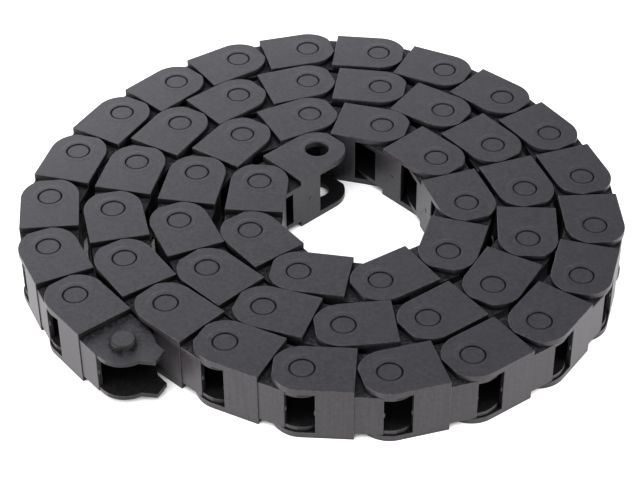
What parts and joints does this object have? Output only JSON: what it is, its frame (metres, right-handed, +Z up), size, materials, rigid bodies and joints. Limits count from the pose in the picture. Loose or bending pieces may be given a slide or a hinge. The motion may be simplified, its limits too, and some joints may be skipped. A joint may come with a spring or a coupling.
{
  "type": "cable drag chain",
  "caption": "Plastic cable drag chain in a flat coil: moulded box links hinged pin in hole, with a rotation stop at each joint and an open channel for cables.",
  "frame": {"origin": "under the middle of the whole coil, on the plane it lies on", "axes": "+Z up, along every hinge axis; the coil lies in X and Y, with the free pin end at the front left"},
  "size_m": [0.1516, 0.1472, 0.015],
  "materials": {
    "link_plastic": "fine matte moulded, dark grey"
  },
  "bodies": {
    "link_01": {"link_01": "link_plastic"},
    "link_02": {"link_02": "link_plastic"},
    "link_03": {"link_03": "link_plastic"},
    "link_04": {"link_04": "link_plastic"},
    "link_05": {"link_05": "link_plastic"},
    "link_06": {"link_06": "link_plastic"},
    "link_07": {"link_07": "link_plastic"},
    "link_08": {"link_08": "link_plastic"},
    "link_09": {"link_09": "link_plastic"},
    "link_10": {"link_10": "link_plastic"},
    "link_11": {"link_11": "link_plastic"},
    "link_12": {"link_12": "link_plastic"},
    "link_13": {"link_13": "link_plastic"},
    "link_14": {"link_14": "link_plastic"},
    "link_15": {"link_15": "link_plastic"},
    "link_16": {"link_16": "link_plastic"},
    "link_17": {"link_17": "link_plastic"},
    "link_18": {"link_18": "link_plastic"},
    "link_19": {"link_19": "link_plastic"},
    "link_20": {"link_20": "link_plastic"},
    "link_21": {"link_21": "link_plastic"},
    "link_22": {"link_22": "link_plastic"},
    "link_23": {"link_23": "link_plastic"},
    "link_24": {"link_24": "link_plastic"},
    "link_25": {"link_25": "link_plastic"},
    "link_26": {"link_26": "link_plastic"},
    "link_27": {"link_27": "link_plastic"},
    "link_28": {"link_28": "link_plastic"},
    "link_29": {"link_29": "link_plastic"},
    "link_30": {"link_30": "link_plastic"},
    "link_31": {"link_31": "link_plastic"},
    "link_32": {"link_32": "link_plastic"},
    "link_33": {"link_33": "link_plastic"},
    "link_34": {"link_34": "link_plastic"},
    "link_35": {"link_35": "link_plastic"},
    "link_36": {"link_36": "link_plastic"},
    "link_37": {"link_37": "link_plastic"},
    "link_38": {"link_38": "link_plastic"},
    "link_39": {"link_39": "link_plastic"},
    "link_40": {"link_40": "link_plastic"},
    "link_41": {"link_41": "link_plastic"},
    "link_42": {"link_42": "link_plastic"},
    "link_43": {"link_43": "link_plastic"},
    "link_44": {"link_44": "link_plastic"},
    "link_45": {"link_45": "link_plastic"},
    "link_46": {"link_46": "link_plastic"},
    "link_47": {"link_47": "link_plastic"},
    "link_48": {"link_48": "link_plastic"},
    "link_49": {"link_49": "link_plastic"},
    "link_50": {"link_50": "link_plastic"}
  },
  "joints": [
    {"name": "hinge_01", "type": "hinge", "parent": "link_02", "child": "link_01", "pos_m": [-0.01535, 0.00518, 0.0075], "axis": [0, 0, 1], "range_deg": [-0.56, 42.09]},
    {"name": "hinge_02", "type": "hinge", "parent": "link_03", "child": "link_02", "pos_m": [-0.01723, -0.01473, 0.0075], "axis": [0, 0, 1], "range_deg": [0, 42.65]},
    {"name": "hinge_03", "type": "hinge", "parent": "link_04", "child": "link_03", "pos_m": [-0.00513, -0.03065, 0.0075], "axis": [0, 0, 1], "range_deg": [0, 42.65]},
    {"name": "hinge_04", "type": "hinge", "parent": "link_05", "child": "link_04", "pos_m": [0.01456, -0.03416, 0.0075], "axis": [0, 0, 1], "range_deg": [0, 42.65]},
    {"name": "hinge_05", "type": "hinge", "parent": "link_06", "child": "link_05", "pos_m": [0.03142, -0.0234, 0.0075], "axis": [0, 0, 1], "range_deg": [-1.8, 40.85]},
    {"name": "hinge_06", "type": "hinge", "parent": "link_07", "child": "link_06", "pos_m": [0.03714, -0.00423, 0.0075], "axis": [0, 0, 1], "range_deg": [-6.55, 36.1]},
    {"name": "hinge_07", "type": "hinge", "parent": "link_08", "child": "link_07", "pos_m": [0.03047, 0.01462, 0.0075], "axis": [0, 0, 1], "range_deg": [-19.09, 23.56]},
    {"name": "hinge_08", "type": "hinge", "parent": "link_09", "child": "link_08", "pos_m": [0.01682, 0.02924, 0.0075], "axis": [0, 0, 1], "range_deg": [-11.36, 31.28]},
    {"name": "hinge_09", "type": "hinge", "parent": "link_10", "child": "link_09", "pos_m": [-0.00244, 0.03464, 0.0075], "axis": [0, 0, 1], "range_deg": [0, 42.65]},
    {"name": "hinge_10", "type": "hinge", "parent": "link_11", "child": "link_10", "pos_m": [-0.02026, 0.02557, 0.0075], "axis": [0, 0, 1], "range_deg": [-13.9, 28.75]},
    {"name": "hinge_11", "type": "hinge", "parent": "link_12", "child": "link_11", "pos_m": [-0.03153, 0.00904, 0.0075], "axis": [0, 0, 1], "range_deg": [-18.52, 24.13]},
    {"name": "hinge_12", "type": "hinge", "parent": "link_13", "child": "link_12", "pos_m": [-0.03505, -0.01065, 0.0075], "axis": [0, 0, 1], "range_deg": [-9.77, 32.88]},
    {"name": "hinge_13", "type": "hinge", "parent": "link_14", "child": "link_13", "pos_m": [-0.02732, -0.02909, 0.0075], "axis": [0, 0, 1], "range_deg": [-21.34, 21.31]},
    {"name": "hinge_14", "type": "hinge", "parent": "link_15", "child": "link_14", "pos_m": [-0.01342, -0.04347, 0.0075], "axis": [0, 0, 1], "range_deg": [-16.3, 26.35]},
    {"name": "hinge_15", "type": "hinge", "parent": "link_16", "child": "link_15", "pos_m": [0.00542, -0.05018, 0.0075], "axis": [0, 0, 1], "range_deg": [-16.42, 26.23]},
    {"name": "hinge_16", "type": "hinge", "parent": "link_17", "child": "link_16", "pos_m": [0.02529, -0.04787, 0.0075], "axis": [0, 0, 1], "range_deg": [-13.09, 29.56]},
    {"name": "hinge_17", "type": "hinge", "parent": "link_18", "child": "link_17", "pos_m": [0.04143, -0.03607, 0.0075], "axis": [0, 0, 1], "range_deg": [-18.52, 24.12]},
    {"name": "hinge_18", "type": "hinge", "parent": "link_19", "child": "link_18", "pos_m": [0.05134, -0.01869, 0.0075], "axis": [0, 0, 1], "range_deg": [-15.77, 26.88]},
    {"name": "hinge_19", "type": "hinge", "parent": "link_20", "child": "link_19", "pos_m": [0.05232, 0.00128, 0.0075], "axis": [0, 0, 1], "range_deg": [-20.26, 22.39]},
    {"name": "hinge_20", "type": "hinge", "parent": "link_21", "child": "link_20", "pos_m": [0.04562, 0.02013, 0.0075], "axis": [0, 0, 1], "range_deg": [-24.5, 18.15]},
    {"name": "hinge_21", "type": "hinge", "parent": "link_22", "child": "link_21", "pos_m": [0.03339, 0.03595, 0.0075], "axis": [0, 0, 1], "range_deg": [-24.54, 18.1]},
    {"name": "hinge_22", "type": "hinge", "parent": "link_23", "child": "link_22", "pos_m": [0.01684, 0.04718, 0.0075], "axis": [0, 0, 1], "range_deg": [-17.36, 25.29]},
    {"name": "hinge_23", "type": "hinge", "parent": "link_24", "child": "link_23", "pos_m": [-0.00292, 0.05027, 0.0075], "axis": [0, 0, 1], "range_deg": [-14.69, 27.95]},
    {"name": "hinge_24", "type": "hinge", "parent": "link_25", "child": "link_24", "pos_m": [-0.02182, 0.04373, 0.0075], "axis": [0, 0, 1], "range_deg": [-21.43, 21.21]},
    {"name": "hinge_25", "type": "hinge", "parent": "link_26", "child": "link_25", "pos_m": [-0.03708, 0.0308, 0.0075], "axis": [0, 0, 1], "range_deg": [0, 18.8]},
    {"name": "hinge_26", "type": "hinge", "parent": "link_26", "child": "link_27", "pos_m": [-0.04735, 0.01364, 0.0075], "axis": [0, 0, -1], "range_deg": [-25.12, 17.53]},
    {"name": "hinge_27", "type": "hinge", "parent": "link_27", "child": "link_28", "pos_m": [-0.05199, -0.00581, 0.0075], "axis": [0, 0, -1], "range_deg": [-16.74, 25.91]},
    {"name": "hinge_28", "type": "hinge", "parent": "link_28", "child": "link_29", "pos_m": [-0.04765, -0.02534, 0.0075], "axis": [0, 0, -1], "range_deg": [-21.62, 21.03]},
    {"name": "hinge_29", "type": "hinge", "parent": "link_29", "child": "link_30", "pos_m": [-0.03659, -0.042, 0.0075], "axis": [0, 0, -1], "range_deg": [-29.57, 13.07]},
    {"name": "hinge_30", "type": "hinge", "parent": "link_30", "child": "link_31", "pos_m": [-0.02206, -0.05574, 0.0075], "axis": [0, 0, -1], "range_deg": [-26.2, 16.45]},
    {"name": "hinge_31", "type": "hinge", "parent": "link_31", "child": "link_32", "pos_m": [-0.00422, -0.0648, 0.0075], "axis": [0, 0, -1], "range_deg": [-19.79, 22.86]},
    {"name": "hinge_32", "type": "hinge", "parent": "link_32", "child": "link_33", "pos_m": [0.01573, -0.06621, 0.0075], "axis": [0, 0, -1], "range_deg": [-22.63, 20.02]},
    {"name": "hinge_33", "type": "hinge", "parent": "link_33", "child": "link_34", "pos_m": [0.03495, -0.06071, 0.0075], "axis": [0, 0, -1], "range_deg": [-23.46, 19.18]},
    {"name": "hinge_34", "type": "hinge", "parent": "link_34", "child": "link_35", "pos_m": [0.05131, -0.0492, 0.0075], "axis": [0, 0, -1], "range_deg": [-23.46, 19.19]},
    {"name": "hinge_35", "type": "hinge", "parent": "link_35", "child": "link_36", "pos_m": [0.06297, -0.03296, 0.0075], "axis": [0, 0, -1], "range_deg": [-22.75, 19.9]},
    {"name": "hinge_36", "type": "hinge", "parent": "link_36", "child": "link_37", "pos_m": [0.06841, -0.01371, 0.0075], "axis": [0, 0, -1], "range_deg": [-24.03, 18.61]},
    {"name": "hinge_37", "type": "hinge", "parent": "link_37", "child": "link_38", "pos_m": [0.06742, 0.00627, 0.0075], "axis": [0, 0, -1], "range_deg": [-26.38, 16.26]},
    {"name": "hinge_38", "type": "hinge", "parent": "link_38", "child": "link_39", "pos_m": [0.06088, 0.02517, 0.0075], "axis": [0, 0, -1], "range_deg": [-27.92, 14.73]},
    {"name": "hinge_39", "type": "hinge", "parent": "link_39", "child": "link_40", "pos_m": [0.04975, 0.04178, 0.0075], "axis": [0, 0, -1], "range_deg": [-28.29, 14.36]},
    {"name": "hinge_40", "type": "hinge", "parent": "link_40", "child": "link_41", "pos_m": [0.03484, 0.05511, 0.0075], "axis": [0, 0, -1], "range_deg": [-26.76, 15.89]},
    {"name": "hinge_41", "type": "hinge", "parent": "link_41", "child": "link_42", "pos_m": [0.01685, 0.06386, 0.0075], "axis": [0, 0, -1], "range_deg": [-23.47, 19.17]},
    {"name": "hinge_42", "type": "hinge", "parent": "link_42", "child": "link_43", "pos_m": [-0.00301, 0.06621, 0.0075], "axis": [0, 0, -1], "range_deg": [-21.41, 21.24]},
    {"name": "hinge_43", "type": "hinge", "parent": "link_43", "child": "link_44", "pos_m": [-0.02237, 0.06121, 0.0075], "axis": [0, 0, -1], "range_deg": [-23.7, 18.95]},
    {"name": "hinge_44", "type": "hinge", "parent": "link_44", "child": "link_45", "pos_m": [-0.03906, 0.05019, 0.0075], "axis": [0, 0, -1], "range_deg": [-29.92, 12.73]},
    {"name": "hinge_45", "type": "hinge", "parent": "link_45", "child": "link_46", "pos_m": [-0.05292, 0.03577, 0.0075], "axis": [0, 0, -1], "range_deg": [-29.26, 13.39]},
    {"name": "hinge_46", "type": "hinge", "parent": "link_46", "child": "link_47", "pos_m": [-0.06305, 0.01853, 0.0075], "axis": [0, 0, -1], "range_deg": [-27.73, 14.91]},
    {"name": "hinge_47", "type": "hinge", "parent": "link_47", "child": "link_48", "pos_m": [-0.06841, -0.00074, 0.0075], "axis": [0, 0, -1], "range_deg": [-22.18, 20.47]},
    {"name": "hinge_48", "type": "hinge", "parent": "link_48", "child": "link_49", "pos_m": [-0.0667, -0.02067, 0.0075], "axis": [0, 0, -1], "range_deg": [-22.85, 19.79]},
    {"name": "hinge_49", "type": "hinge", "parent": "link_49", "child": "link_50", "pos_m": [-0.05833, -0.03884, 0.0075], "axis": [0, 0, -1], "range_deg": [-28.51, 14.14]}
  ],
  "couplings": [
    {"joint": "hinge_01", "follows": "hinge_25", "ratio": 2.2386},
    {"joint": "hinge_02", "follows": "hinge_25", "ratio": 2.2685},
    {"joint": "hinge_03", "follows": "hinge_25", "ratio": 2.2685},
    {"joint": "hinge_04", "follows": "hinge_25", "ratio": 2.2685},
    {"joint": "hinge_05", "follows": "hinge_25", "ratio": 2.1727},
    {"joint": "hinge_06", "follows": "hinge_25", "ratio": 1.92},
    {"joint": "hinge_07", "follows": "hinge_25", "ratio": 1.2533},
    {"joint": "hinge_08", "follows": "hinge_25", "ratio": 1.6641},
    {"joint": "hinge_09", "follows": "hinge_25", "ratio": 2.2685},
    {"joint": "hinge_10", "follows": "hinge_25", "ratio": 1.5291},
    {"joint": "hinge_11", "follows": "hinge_25", "ratio": 1.2835},
    {"joint": "hinge_12", "follows": "hinge_25", "ratio": 1.7489},
    {"joint": "hinge_13", "follows": "hinge_25", "ratio": 1.1335},
    {"joint": "hinge_14", "follows": "hinge_25", "ratio": 1.4017},
    {"joint": "hinge_15", "follows": "hinge_25", "ratio": 1.3951},
    {"joint": "hinge_16", "follows": "hinge_25", "ratio": 1.5721},
    {"joint": "hinge_17", "follows": "hinge_25", "ratio": 1.2833},
    {"joint": "hinge_18", "follows": "hinge_25", "ratio": 1.4298},
    {"joint": "hinge_19", "follows": "hinge_25", "ratio": 1.1909},
    {"joint": "hinge_20", "follows": "hinge_25", "ratio": 0.96556},
    {"joint": "hinge_21", "follows": "hinge_25", "ratio": 0.963},
    {"joint": "hinge_22", "follows": "hinge_25", "ratio": 1.3451},
    {"joint": "hinge_23", "follows": "hinge_25", "ratio": 1.487},
    {"joint": "hinge_24", "follows": "hinge_25", "ratio": 1.1284},
    {"joint": "hinge_26", "follows": "hinge_25", "ratio": 0.93241},
    {"joint": "hinge_27", "follows": "hinge_25", "ratio": 1.3783},
    {"joint": "hinge_28", "follows": "hinge_25", "ratio": 1.1186},
    {"joint": "hinge_29", "follows": "hinge_25", "ratio": 0.69544},
    {"joint": "hinge_30", "follows": "hinge_25", "ratio": 0.8749},
    {"joint": "hinge_31", "follows": "hinge_25", "ratio": 1.2161},
    {"joint": "hinge_32", "follows": "hinge_25", "ratio": 1.0649},
    {"joint": "hinge_33", "follows": "hinge_25", "ratio": 1.0204},
    {"joint": "hinge_34", "follows": "hinge_25", "ratio": 1.0205},
    {"joint": "hinge_35", "follows": "hinge_25", "ratio": 1.0583},
    {"joint": "hinge_36", "follows": "hinge_25", "ratio": 0.99004},
    {"joint": "hinge_37", "follows": "hinge_25", "ratio": 0.86515},
    {"joint": "hinge_38", "follows": "hinge_25", "ratio": 0.78354},
    {"joint": "hinge_39", "follows": "hinge_25", "ratio": 0.76363},
    {"joint": "hinge_40", "follows": "hinge_25", "ratio": 0.84501},
    {"joint": "hinge_41", "follows": "hinge_25", "ratio": 1.0199},
    {"joint": "hinge_42", "follows": "hinge_25", "ratio": 1.1297},
    {"joint": "hinge_43", "follows": "hinge_25", "ratio": 1.0079},
    {"joint": "hinge_44", "follows": "hinge_25", "ratio": 0.67703},
    {"joint": "hinge_45", "follows": "hinge_25", "ratio": 0.7121},
    {"joint": "hinge_46", "follows": "hinge_25", "ratio": 0.79332},
    {"joint": "hinge_47", "follows": "hinge_25", "ratio": 1.0886},
    {"joint": "hinge_48", "follows": "hinge_25", "ratio": 1.0529},
    {"joint": "hinge_49", "follows": "hinge_25", "ratio": 0.7521}
  ]
}
